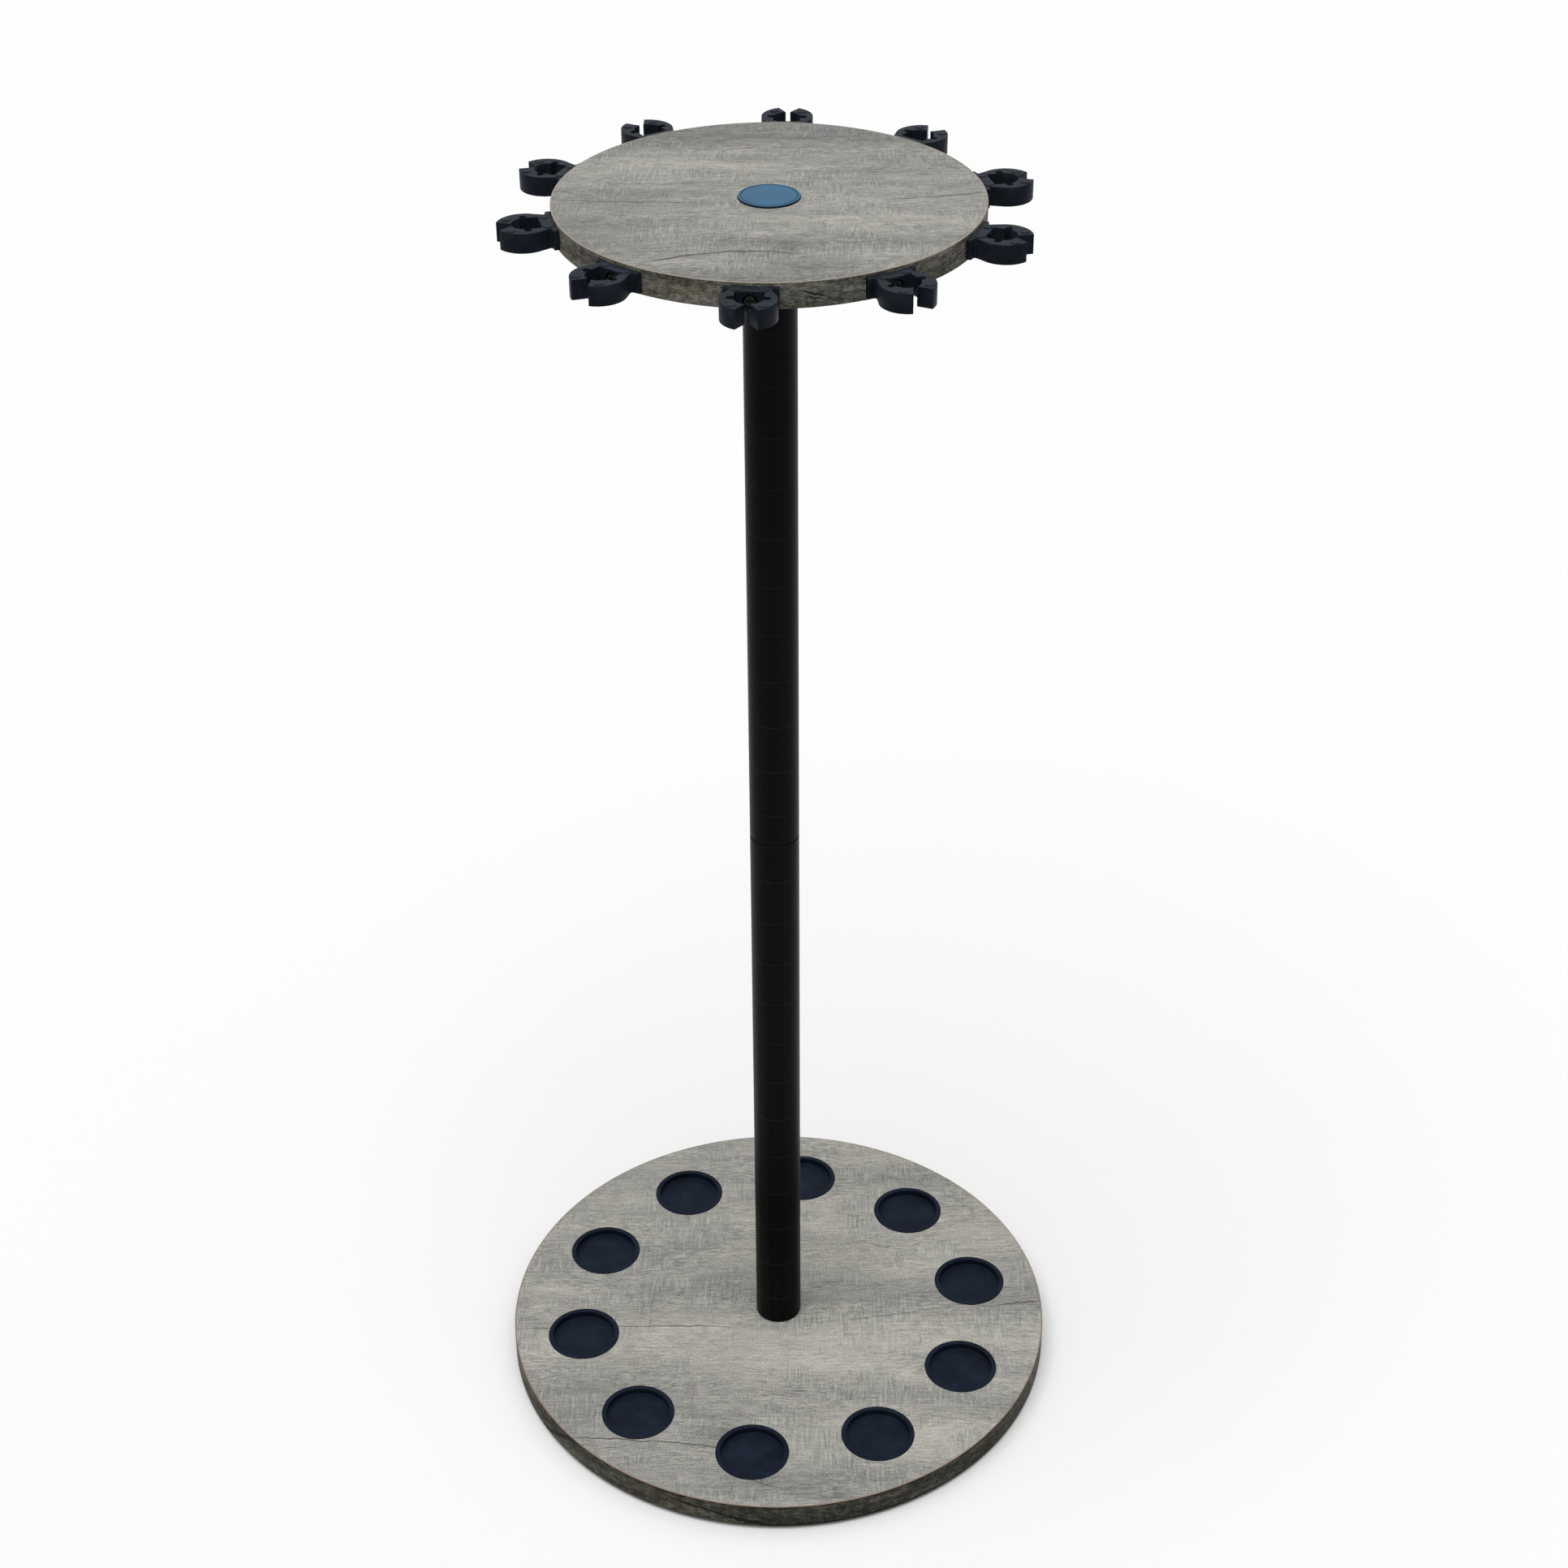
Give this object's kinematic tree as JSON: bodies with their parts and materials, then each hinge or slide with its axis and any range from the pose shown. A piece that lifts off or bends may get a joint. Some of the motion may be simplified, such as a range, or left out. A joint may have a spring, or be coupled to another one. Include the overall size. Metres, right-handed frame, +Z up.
{
  "type": "rod rack",
  "caption": "Round floor rack for fishing rods: a wood-grain base with rod cups, a two-piece steel post, and a smaller top board ringed with spring clips.",
  "frame": {"origin": "middle of the footprint, on the floor under the pads", "axes": "+Z up along the post, +X along the boards' wood grain, -Y the front; seen from above, the first cup is 8 degrees and the first clip 5 degrees clockwise of -Y, and the rest follow anticlockwise at equal angles"},
  "size_m": [0.3809, 0.381, 0.8652],
  "materials": {
    "laminated_board": "printed barn-wood laminate, matt",
    "edge_band": "printed dark wood-grain strip",
    "black_steel": "gloss black powder coat",
    "black_plastic": "moulded, satin",
    "cap_plastic": "moulded, satin",
    "nylon": "moulded",
    "zinc_steel": "zinc plated",
    "black_screw_steel": "black phosphated",
    "pad_rubber": "matt"
  },
  "bodies": {
    "root": {"base_board": "laminated_board", "base_edge_band": "edge_band", "top_board": "laminated_board", "top_edge_band": "edge_band", "rod_cup_1": "black_plastic", "rod_cup_2": "black_plastic", "rod_cup_3": "black_plastic", "rod_cup_4": "black_plastic", "rod_cup_5": "black_plastic", "rod_cup_6": "black_plastic", "rod_cup_7": "black_plastic", "rod_cup_8": "black_plastic", "rod_cup_9": "black_plastic", "rod_cup_10": "black_plastic", "rod_clip_1": "black_plastic", "rod_clip_2": "black_plastic", "rod_clip_3": "black_plastic", "rod_clip_4": "black_plastic", "rod_clip_5": "black_plastic", "rod_clip_6": "black_plastic", "rod_clip_7": "black_plastic", "rod_clip_8": "black_plastic", "rod_clip_9": "black_plastic", "rod_clip_10": "black_plastic", "clip_screws": "black_screw_steel", "lower_tube": "black_steel", "upper_tube": "black_steel", "foot_plug": "nylon", "lower_joint_plug": "nylon", "upper_joint_plug": "nylon", "head_plug": "nylon", "plug_nuts": "zinc_steel", "joint_stud": "zinc_steel", "base_bolt": "zinc_steel", "base_washer": "zinc_steel", "top_bolt": "zinc_steel", "top_washer": "zinc_steel", "centre_cap": "cap_plastic", "floor_pads": "pad_rubber"}
  },
  "joints": []
}
